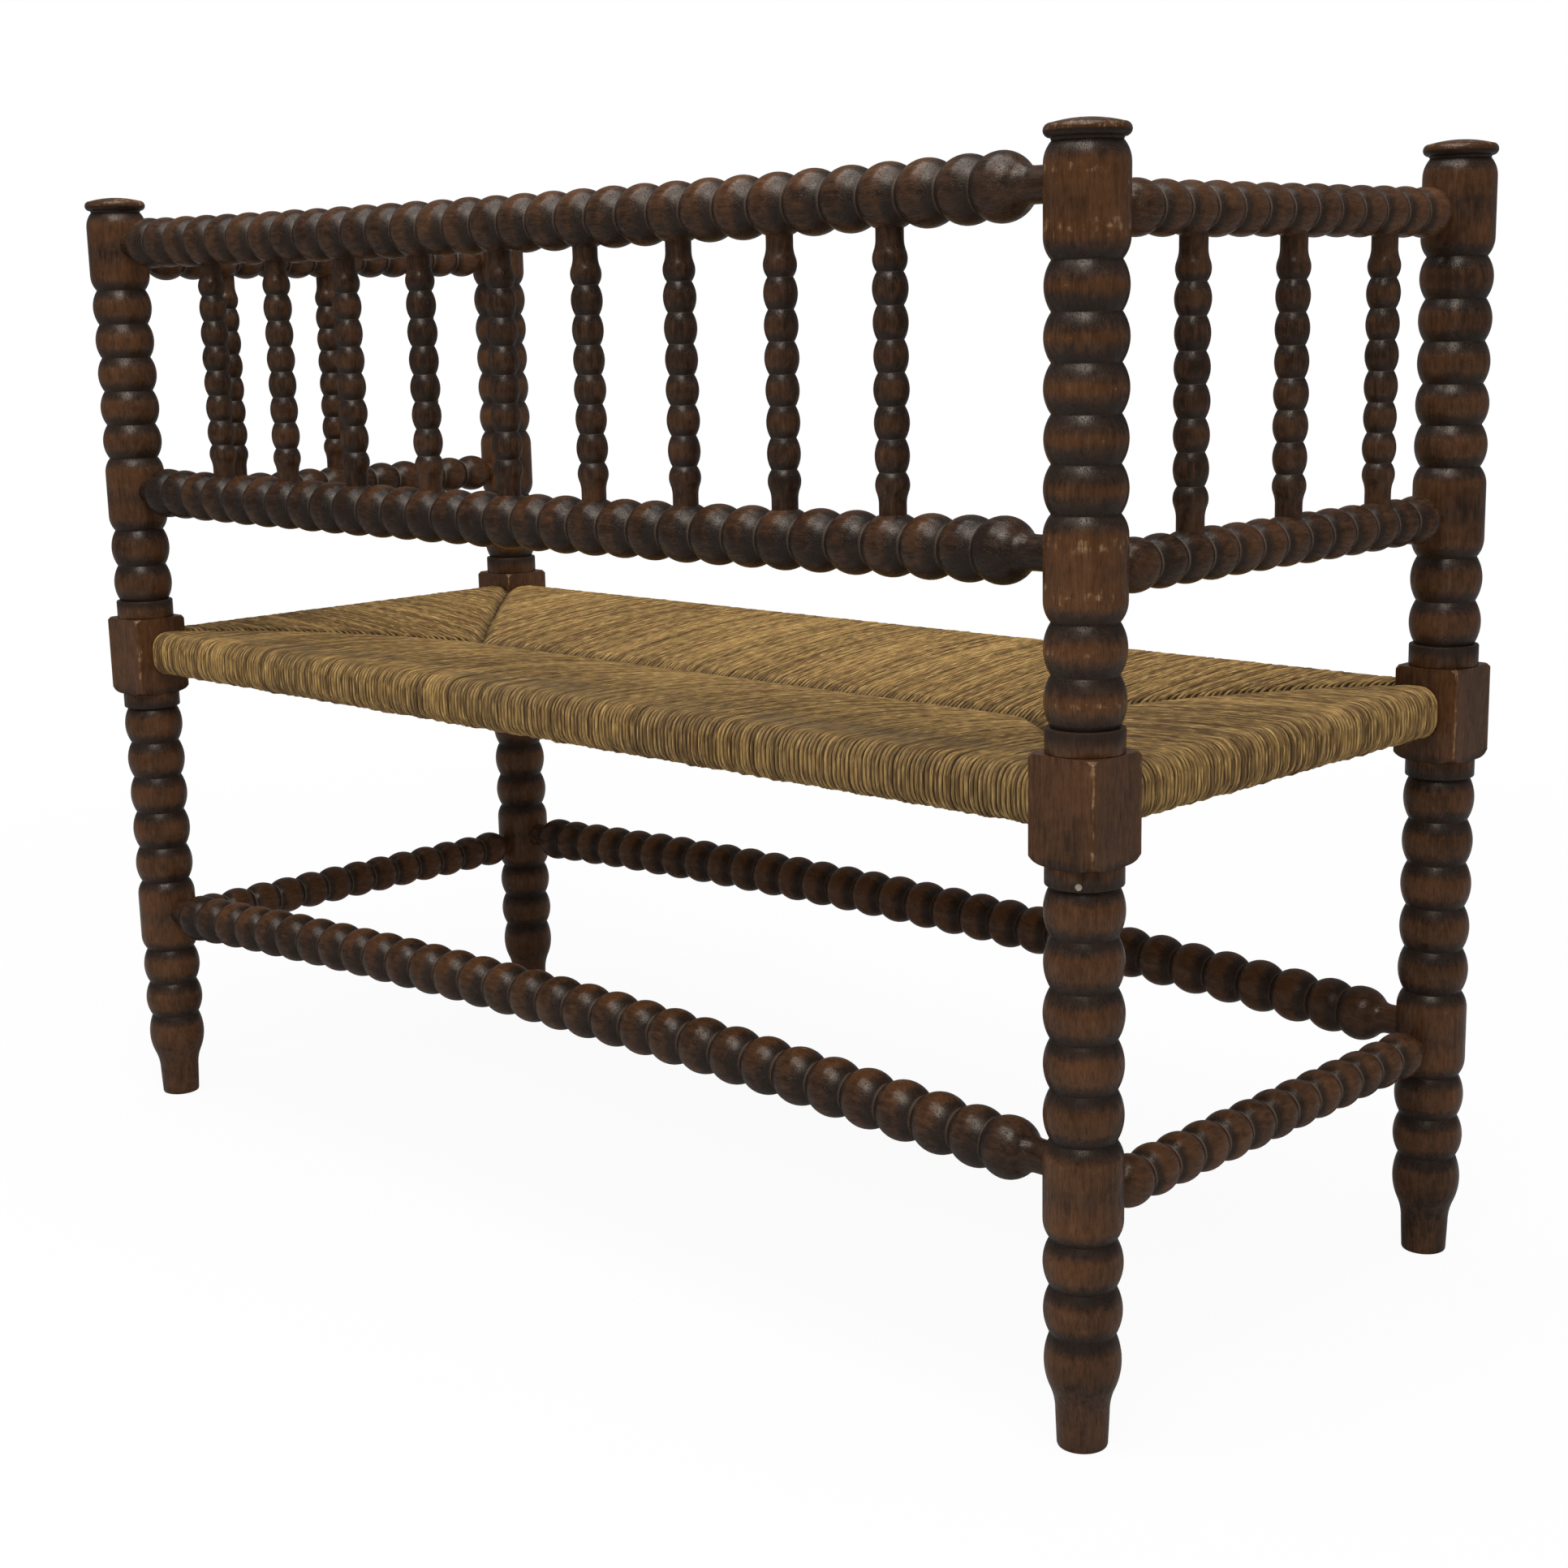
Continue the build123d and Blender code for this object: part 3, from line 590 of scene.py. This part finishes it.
# Back: nine short spindles between two long turned rails, all of the same stained wood. The rails
# sag and tilt a little, the spindles stand on every third bead, and their tenons are glued into
# blind holes.
BACK_LOW = 532.85
BACK_TOP = 735.5
BACK_HALF_GAP = 101.3
BACK_BOW = -3.0
BACK_TILT = -2.0
BACK_SHIFT = 3.5
SPINDLE_BEADS = 6
SPINDLE_PITCH = 19.5
SPINDLE_GROOVE = 8.0
SPINDLE_NECK = 8.4


def spindle(name, x, y, middle, half_gap, tone, number):
    """Small beads and at each end a vase, its hollow running out to a neck that enters the rail and
    stops 5.5 mm short of half the gap between the rails' axes."""
    luck = np.random.default_rng(number)
    end = SPINDLE_PITCH * SPINDLE_BEADS / 2
    grooves, crests = hand_turned(-end, SPINDLE_PITCH, SPINDLE_BEADS, 10.9, luck)
    tail = swell_and_cove(SPINDLE_GROOVE, end, 10.5, 12.0, SPINDLE_NECK, 20.0, 10)
    neck = [[half_gap - 9.0, half_gap - 5.5], [SPINDLE_NECK, SPINDLE_NECK]]
    tail = np.concatenate([tail, neck], axis=1)
    head = np.stack([-tail[0, ::-1], tail[1, ::-1]])[:, :-1]
    row = bead_row(grooves, SPINDLE_GROOVE, crests, 11)
    height, radius = np.concatenate([head, row, tail], axis=1)[:, :, None]
    relief = 0.88 * groove_relief(height, grooves, 5.5) - 0.16
    angle = np.linspace(0, 2 * np.pi, 32, endpoint=False)
    turned_piece(name, height, radius, relief, angle, "Z", (x, y, middle), tone, number)


for count in range(9):
    spindle_x = 3 * LONG_PITCH * (count - 4) + BACK_SHIFT
    middle = (BACK_LOW + BACK_TOP) / 2 + long_rail_lift(spindle_x, BACK_BOW, BACK_TILT)
    spindle(f"back_spindle_{count + 1}", spindle_x, POST_Y, middle, BACK_HALF_GAP, -0.14, 21 + count)
long_rail("back_lower_rail", 1, BACK_LOW, 20.0, BACK_BOW, BACK_TILT, BACK_SHIFT, -0.28, 31)
long_rail("back_top_rail", 1, BACK_TOP, 20.0, BACK_BOW, BACK_TILT, BACK_SHIFT, -0.04, 32)


# Arms: a lower and an upper turned rail at each end of the bench with three spindles between them,
# set a little lower than the back rails so that the tenons pass each other inside the posts.
ARM_LOW = 525.85
ARM_TOP = 724.5
ARM_HALF_GAP = 99.3
ARM_SHIFT = -4.0
for side, sign, drop in (("left", -1, 0.0), ("right", 1, 4.0)):
    middle = (ARM_LOW + ARM_TOP) / 2 - drop
    for count in range(3):
        name = f"{side}_arm_spindle_{count + 1}"
        spindle_y = 4 * SHORT_PITCH * (count - 1) + ARM_SHIFT
        number = 41 + 3 * sign + count
        spindle(name, sign * POST_X, spindle_y, middle, ARM_HALF_GAP, -0.06, number)
    short_rail(f"{side}_arm_lower_rail", sign, ARM_LOW - drop, -0.06, 51 + sign)
    short_rail(f"{side}_arm_top_rail", sign, ARM_TOP - drop, 0.14, 54 + sign)


# Seat rails: four plain rounded bars of unstained wood inside the rush, tenoned into the blocks of
# the posts. The cord is wound over them, so they hardly show, and their CAD shape is kept.
def plain_wood():
    """Pale bare wood: fibres are noise drawn out along the longer side of the bench."""
    finish, shade = new_finish("plain_wood")
    coords = shade.node("ShaderNodeTexCoord", {}, {}, "Object")
    fibre = coords.stretched(0.05, 0.12, 1).speckle(700, 3)
    cloud = coords.speckle(14, 3)
    colour = (0.6 * fibre + 0.5 * cloud).blend(stain(128, 92, 58), stain(178, 140, 96))
    surface(shade, Base_Color=colour, Roughness=0.6 + 0.2 * (fibre - 0.5), Height=0.3 * fibre)
    return finish


bare_wood = plain_wood()
for side in ("back", "front", "left", "right"):
    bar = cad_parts[side + "_seat_rail"]
    bar.data.materials.clear()
    bar.data.materials.append(bare_wood)


# Stuffing: broken rush leaves pushed into the pocket between the upper and the lower layer of each
# panel as the seat is woven. It keeps the seat crowned and firm, and is shut in by the cord.
SEAT_TOP = 412.0
SEAT_BOTTOM = 376.4
SEAT_EDGE = 13.3
SEAT_DEPTH = 212.3
SEAT_END = 511.3
PANELS = (("back", 0, True), ("right", -1, False), ("front", 2, True), ("left", 1, False))


def straw():
    """Chopped dry leaves: stretched noise in two directions over a tan ground."""
    finish, shade = new_finish("straw_stuffing")
    coords = shade.node("ShaderNodeTexCoord", {}, {}, "Object")
    stalks = coords.stretched(1, 0.1, 1).speckle(420, 3)
    others = coords.stretched(0.1, 1, 1).speckle(420, 3)
    colour = (0.5 * stalks + 0.5 * others).rise(0.3, 0.7).blend(stain(112, 86, 50), stain(176, 146, 96))
    surface(shade, Base_Color=colour, Roughness=0.8 + 0.1 * stalks, Height=0.6 * stalks + 0.6 * others)
    return finish


def seat_height(depth, upper):
    """Height of the seat's upper or lower skin at a depth in from the edge: quadratics in the share
    of the way from the edge's rounding to the middle seam."""
    share = (depth - SEAT_EDGE) / (SEAT_DEPTH - SEAT_EDGE)
    if upper:
        return SEAT_TOP + share - 18.0 * share**2
    return SEAT_BOTTOM - 22.0 * share + 24.0 * share**2


def panel_depth(across, is_long):
    """Depth of a panel from its edge to the seam, at a place along its edge."""
    if is_long:
        return np.minimum(SEAT_DEPTH, SEAT_END - np.abs(across))
    return SEAT_DEPTH - np.abs(across)


def panel_points(across, depth, height, quarter_turns, is_long):
    """A panel drawn with its edge at +Y, turned about the bench's middle by quarter turns."""
    x = across + 0 * depth
    y = (SEAT_DEPTH if is_long else SEAT_END) - depth
    cosine = np.cos(quarter_turns * np.pi / 2)
    sine = np.sin(quarter_turns * np.pi / 2)
    return np.stack([x * cosine - y * sine, x * sine + y * cosine, height], axis=-1)


straw_finish = straw()


def stuffing(side, quarter_turns, is_long):
    """A crowned pad: rows go round its section as a flattened loop, and columns along the panel. The
    loop's height is the sine of its angle to the power 0.6, so its edges stay round."""
    luck = np.random.default_rng(70 + quarter_turns)
    reach = 458.0 if is_long else 158.0
    across = np.linspace(-reach, reach, 61 if is_long else 25)[None, :]
    loop = np.linspace(0, 2 * np.pi, 40, endpoint=False)[:, None]
    under_cord = 6.5
    inner = panel_depth(across, is_long) - 10.0
    outer = np.minimum(26.0, inner - 8.0)
    depth = (inner + outer) / 2 + (inner - outer) / 2 * np.cos(loop)
    top = seat_height(depth, True) - under_cord
    bottom = seat_height(depth, False) + under_cord
    bulge = np.sign(np.sin(loop)) * np.abs(np.sin(loop)) ** 0.6
    lumps = 0.5 * luck.normal(size=(len(loop), across.shape[1]))
    height = (top + bottom) / 2 + ((top - bottom) / 2 - 0.8) * bulge + lumps * np.abs(np.sin(loop))
    points = panel_points(across, depth, height, quarter_turns, is_long)
    pad = new_piece(
        side + "_straw_pad",
        points,
        grid_faces(len(loop), across.shape[1], False),
        [side + "_stuffing"],
        "straw_stuffing",
        straw_finish,
        80,
    )


for panel in PANELS:
    stuffing(*panel)


# Rush seat: one long cord, twisted by hand from dried rush leaves, wound over the four bars from the
# corners inward. Each panel's strands run from the seam over the top, round the bar and back below,
# side by side and uneven; the panels meet in two mitred corners at each end and one middle seam.
def rush_cord():
    """Strands carry their own coordinates: across, along and a number of their own. Twist stripes
    are a sine of length plus a share of across; leaves are noise drawn out along the strand. The
    gaps between strands are painted dark as shade, and a band along the back edge is painted grey
    in patches, as soil and as the shadow of the back rails."""
    finish, shade = new_finish("rush_cord")
    lay = shade.node("ShaderNodeAttribute", {"attribute_name": "lay"}, {}, "Vector")
    tint = shade.node("ShaderNodeAttribute", {"attribute_name": "tint"}, {}, "Fac")
    crest = shade.node("ShaderNodeAttribute", {"attribute_name": "crest"}, {}, "Fac")
    coords = shade.node("ShaderNodeTexCoord", {}, {}, "Object")
    patch = coords.speckle(9, 3)
    blotch = lay.stretched(0.02, 1, 1).speckle(30, 3)
    wander = lay.stretched(0.1, 1, 1).speckle(60, 2)
    twist_length = 0.014
    phase = lay.part("Y") * (2 * np.pi / twist_length) + lay.part("X") * 2.4
    phase = phase + 6 * wander + 40 * lay.part("Z")
    twist = phase.sine() * 0.5 + 0.5
    leaf = lay.stretched(1, 0.06, 1).speckle(1500, 4)
    depth = 0.42 + 0.56 * (tint - 0.5) + 0.5 * (blotch - 0.5) + 2.8 * (leaf - 0.5) + 0.6 * (patch - 0.5)
    colour = depth.blend(stain(88, 64, 32), stain(180, 144, 84))
    colour = ((1 - twist.rise(0.02, 0.3)) * 0.2).blend(colour, stain(84, 60, 32))
    colour = (leaf.rise(0.6, 0.7) * 0.65).blend(colour, stain(210, 176, 116))
    # Grey band in from the back edge: soil, and a painted shadow of the back rails.
    soil_and_shadow_patches = coords.stretched(0.4, 1, 1).speckle(40, 4)
    place_y = coords.part("Y")
    band = place_y.rise(0.145, 0.172) - 0.55 * place_y.rise(0.186, 0.205)
    grey = band * (soil_and_shadow_patches - 0.12 * coords.part("X")).rise(0.34, 0.62)
    colour = (grey * 0.52).blend(colour, stain(84, 70, 52))
    # Dark gaps: painted shade between the strands and in the seam's crease.
    gap = 1 - (crest + 0.25 * (leaf - 0.5)).rise(0.3, 0.95)
    colour = (gap * 0.95).blend(colour, stain(46, 31, 14))
    height = 0.3 * twist.rise(0, 0.6) + 0.6 * leaf
    rough = 0.66 + 0.2 * (leaf - 0.5)
    surface(shade, Base_Color=colour, Roughness=rough, Height=height, Specular_IOR_Level=0.25)
    return finish


rush_finish = rush_cord()


def rush_panel(side, quarter_turns, is_long):
    """A corrugated closed skin. Rows follow a strand from the seam, over the top, round the bar and
    back below to the seam; columns go across the strands, six to each. Off the smooth path, a
    point is sunk by the strand's height times one minus the root of one minus across squared. At
    the seam the top dips, and painted shade darkens the crests in the crease, as a bell curve of
    the distance to it."""
    luck = np.random.default_rng(80 + quarter_turns)
    reach = 475.4 if is_long else 176.4
    count = 270 if is_long else 100
    width = np.clip(luck.normal(1.0, 0.08, count), 0.8, 1.25)
    width *= 2 * reach / width.sum()
    centre = np.cumsum(width) - width / 2 - reach
    full = panel_depth(centre, is_long)[None, :]
    full = full - 0.4 + luck.uniform(-0.9, 0.5, (1, count))

    top_share = np.concatenate([[0, 0.012, 0.03, 0.06, 0.1], np.linspace(0.16, 1, 16)])[:, None]
    turn = np.linspace(0, np.pi / 2, 6)[1:, None]
    top_depth = full - (full - SEAT_EDGE) * top_share
    over = SEAT_EDGE * (1 - np.sin(turn)) + 0 * full
    depth = np.concatenate([top_depth, over, over[::-1], top_depth[-2::-1]])
    over_z = SEAT_TOP - SEAT_EDGE * (1 - np.cos(turn)) + 0 * full
    under_z = SEAT_BOTTOM + SEAT_EDGE * (1 - np.cos(turn)) + 0 * full
    height = np.concatenate(
        [seat_height(top_depth, True), over_z, under_z[::-1], seat_height(top_depth[-2::-1], False)]
    )
    rows = len(depth)
    upper = np.arange(rows)[:, None] < rows // 2
    seam_width = 7.0
    top_dip = 4.2
    under_dip = 2.0
    fall = np.exp(-(((full - depth) / seam_width) ** 2))
    height = height + np.where(upper, -top_dip, under_dip) * fall

    run_d = np.gradient(depth, axis=0)
    run_z = np.gradient(height, axis=0)
    length = np.hypot(run_d, run_z)
    along = np.cumsum(length, axis=0)
    normal_d = run_z / length
    normal_z = -run_d / length
    knots = luck.uniform(0, 2 * np.pi, (4, 1, count))
    swell = 1 + 0.07 * np.sin(along / 17.0 + knots[0]) + 0.05 * np.sin(along / 6.5 + knots[1])
    shift = 0.2 * np.sin(along / 31.0 + knots[2]) + 0.1 * np.sin(along / 11.0 + knots[3])
    lift = luck.normal(0, 0.12, (1, count)) + 0.1 * np.sin(along / 23.0 + knots[1])
    below = np.clip((SEAT_BOTTOM + 6.0 - height) / 8.0, 0, 1)
    lift = lift + below * luck.normal(0, 0.6, (1, count))

    cord_height = 2.3
    span = np.array([-1.0, -0.76, -0.28, 0.28, 0.76, 1.0])
    arch = np.sqrt(1 - span**2)
    across = centre[:, None] + (shift[..., None] + width[:, None] / 2 * swell[..., None] * span)
    across = np.clip(across, -reach, reach).reshape(rows, -1)
    sink = (lift[..., None] - cord_height * (1 - arch)).reshape(rows, -1)
    strand = np.repeat(np.arange(count), len(span))
    points = panel_points(
        across,
        depth[:, strand] + sink * normal_d[:, strand],
        height[:, strand] + sink * normal_z[:, strand],
        quarter_turns,
        is_long,
    )
    lay = np.stack(
        [
            np.broadcast_to(np.tile(span, count) * 0.002, across.shape),
            along[:, strand] * 0.001,
            np.broadcast_to(luck.uniform(0, 1, count)[strand], across.shape),
        ],
        axis=-1,
    )
    # End panels are painted darker: shade from the way their strands lie to the light.
    tint = luck.uniform(0, 1, count) - (0 if is_long else 0.16)
    new_piece(
        side + "_rush",
        points,
        grid_faces(rows, across.shape[1], False),
        ["rush_seat"],
        "rush_cord",
        rush_finish,
        75,
        lay=lay,
        tint=np.broadcast_to(tint[strand], across.shape),
        # Crests lowered near the seam: painted shade in the crease between the panels.
        crest=np.tile(arch, count) * (1 - 0.4 * fall[:, strand]),
    )


for panel in PANELS:
    rush_panel(*panel)


# Studio: a plain white floor that keeps the bench's soft shadow, a wide lamp overhead and another
# high above the camera, and a camera at the photograph's place.
def axes_matrix(right, up, back, place):
    """The matrix whose columns are an object's three axes and its place."""
    columns = np.eye(4)
    columns[:3] = np.stack([right, up, back, place], axis=1)
    return Matrix(columns.tolist())


def studio():
    """A square floor, a white world for the rays that show it and soft light for the rest, two area
    lamps that face the seat, and the camera's axes as the columns of its matrix."""
    mesh = bpy.data.meshes.new("studio_floor")
    mesh.from_pydata([(-60, -60, 0), (60, -60, 0), (60, 60, 0), (-60, 60, 0)], [], [(0, 1, 2, 3)])
    floor = bpy.data.objects.new("studio_floor", mesh)
    bpy.context.collection.objects.link(floor)
    finish, shade = new_finish("white_floor")
    seen = shade.node("ShaderNodeLightPath", {}, {}, "Is Camera Ray")
    coords = shade.node("ShaderNodeTexCoord", {}, {}, "Object")
    away = ((coords.part("X") ** 2 + coords.part("Y") ** 2) ** 0.5).rise(0.7, 2.2)
    mirrored = shade.node("ShaderNodeLightPath", {}, {}, "Is Glossy Ray")
    paint = mirrored.blend((0.8, 0.8, 0.8, 1), (0.3, 0.3, 0.3, 1))
    matt = shade.node("ShaderNodeBsdfDiffuse", {}, {"Color": paint})
    glow = shade.node("ShaderNodeEmission", {}, {"Color": (1, 1, 1, 1), "Strength": 1.0})
    mixed = shade.node("ShaderNodeMixShader", {}, {0: seen * (0.94 + 0.06 * away), 1: matt, 2: glow})
    shade.node("ShaderNodeOutputMaterial", {}, {"Surface": mixed})
    mesh.materials.append(finish)

    world = bpy.data.worlds.new("studio_world")
    world.use_nodes = True
    world.node_tree.nodes.clear()
    sky = Shade(world.node_tree)
    seen = sky.node("ShaderNodeLightPath", {}, {}, "Is Camera Ray")
    mirrored = sky.node("ShaderNodeLightPath", {}, {}, "Is Glossy Ray")
    backdrop = {"Color": (1, 1, 1, 1), "Strength": 0.5 + 0.5 * seen - 0.36 * mirrored}
    backdrop = sky.node("ShaderNodeBackground", {}, backdrop)
    sky.node("ShaderNodeOutputWorld", {}, {"Surface": backdrop})
    bpy.context.scene.world = world

    seat_middle = (0, 0, 0.45)
    for name, place, size, power in (
        ("overhead_lamp", (-0.2, 0.5, 2.6), 2.0, 46.0),
        ("front_lamp", (-1.4, 1.8, 3.3), 1.6, 45.0),
    ):
        lamp = bpy.data.lights.new(name, "AREA")
        lamp.size = size
        lamp.energy = power
        holder = bpy.data.objects.new(name, lamp)
        back = np.array(place) - seat_middle
        back = back / np.linalg.norm(back)
        right = np.cross((0, 1, 0.01), back)
        right = right / np.linalg.norm(right)
        holder.matrix_world = axes_matrix(right, np.cross(back, right), back, place)
        bpy.context.collection.objects.link(holder)

    lens = bpy.data.cameras.new("photo_camera")
    lens.lens = 54.74
    lens.sensor_width = 36.0
    lens.clip_end = 300
    camera = bpy.data.objects.new("photo_camera", lens)
    place = (-1.30786, 1.26653, 0.68111)
    right = np.array([-0.7159979, -0.6977739, -0.02141474])
    ahead = np.array([0.68677992, -0.69855124, -0.20089675])
    camera.matrix_world = axes_matrix(right, np.cross(right, ahead), -ahead, place)
    bpy.context.collection.objects.link(camera)
    bpy.context.scene.camera = camera
    bpy.context.scene.view_settings.view_transform = "Standard"


studio()
